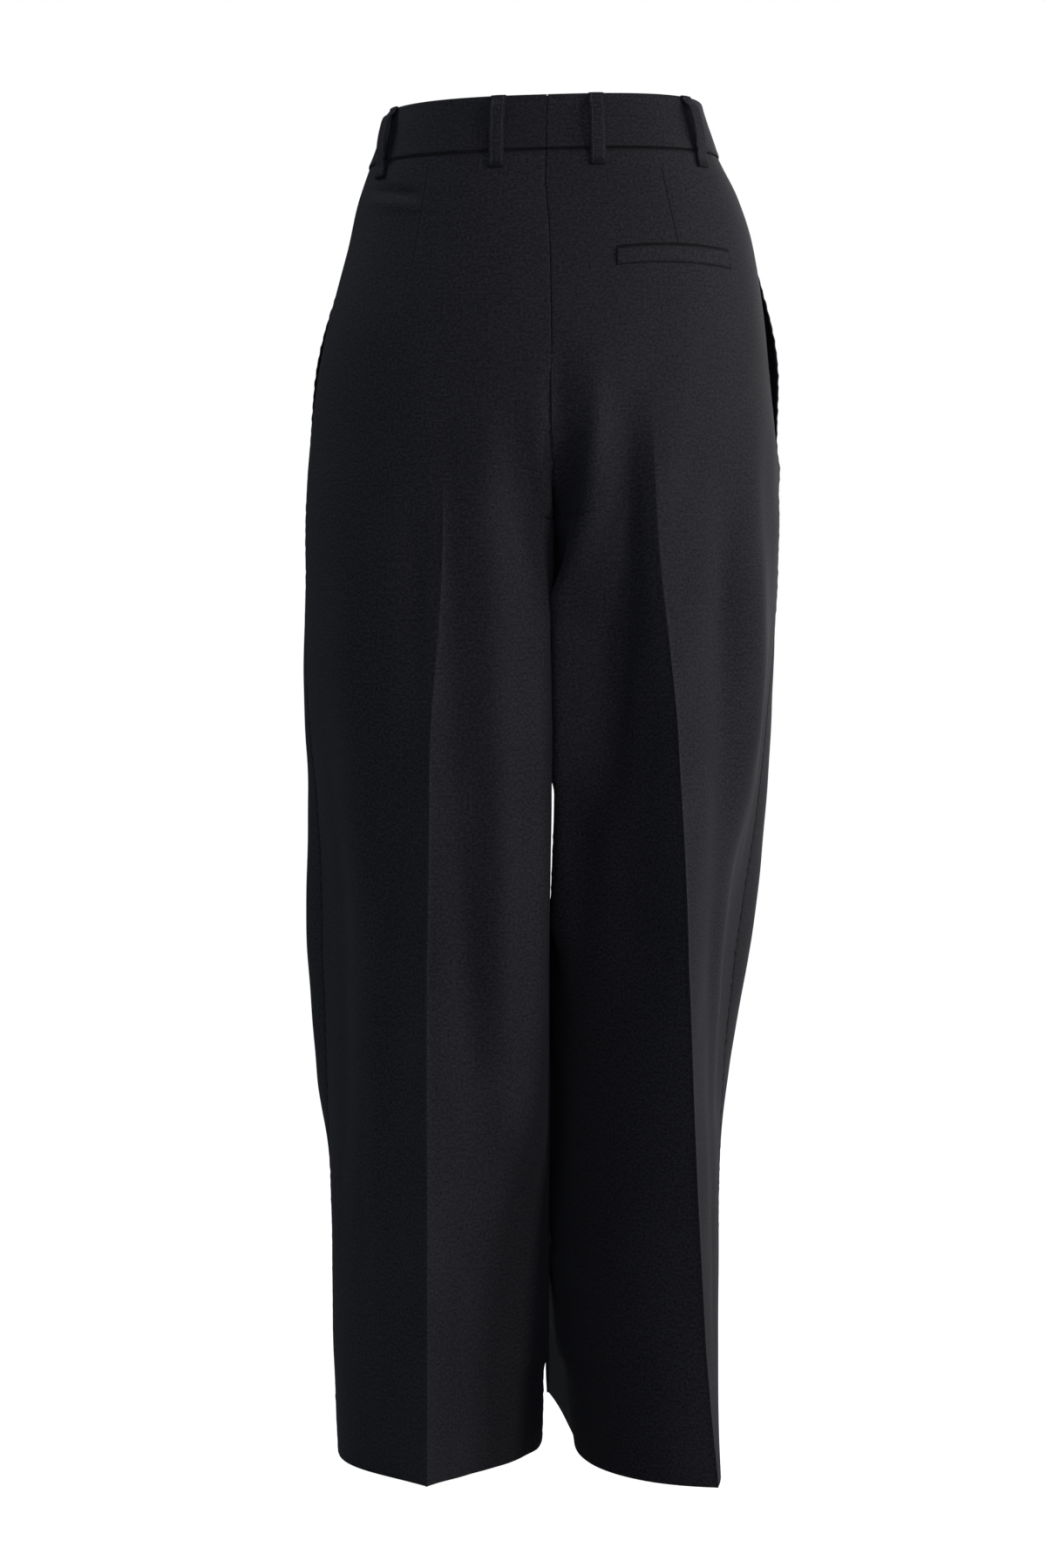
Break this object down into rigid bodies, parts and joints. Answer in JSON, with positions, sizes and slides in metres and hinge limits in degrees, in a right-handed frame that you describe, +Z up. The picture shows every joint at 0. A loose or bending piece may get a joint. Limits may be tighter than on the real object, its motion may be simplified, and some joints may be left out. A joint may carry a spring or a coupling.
{
  "type": "wide-leg trousers",
  "caption": "High-waisted wide-leg tailored trousers in dark wool, worn shape, hollow, with pressed creases, belt loops, a back welt pocket and a buttoned waistband.",
  "frame": {"origin": "centre of the waist opening, halfway up the waistband", "axes": "+Z up along the body, -Y towards the garment's front, +X towards the wearer's left"},
  "size_m": [0.3862, 0.335, 1.0939],
  "materials": {
    "wool": "matte fine twill with a soft sheen",
    "trim": "matte fine twill",
    "pocketing": "matte plain weave",
    "button": "satin"
  },
  "bodies": {
    "root": {"back_left": "wool", "back_right": "wool", "front_left": "wool", "front_right": "wool", "waistband_left": "wool", "waistband_right": "wool", "belt_loop_back_left": "trim", "belt_loop_back_right": "trim", "belt_loop_side_left": "trim", "belt_loop_side_right": "trim", "belt_loop_front_left": "trim", "belt_loop_front_right": "trim", "back_pocket_welt": "trim", "fly_placket": "trim", "fly_shield": "pocketing", "side_pocket_facing_left": "pocketing", "side_pocket_facing_right": "pocketing", "waistband_button": "button"}
  },
  "joints": []
}
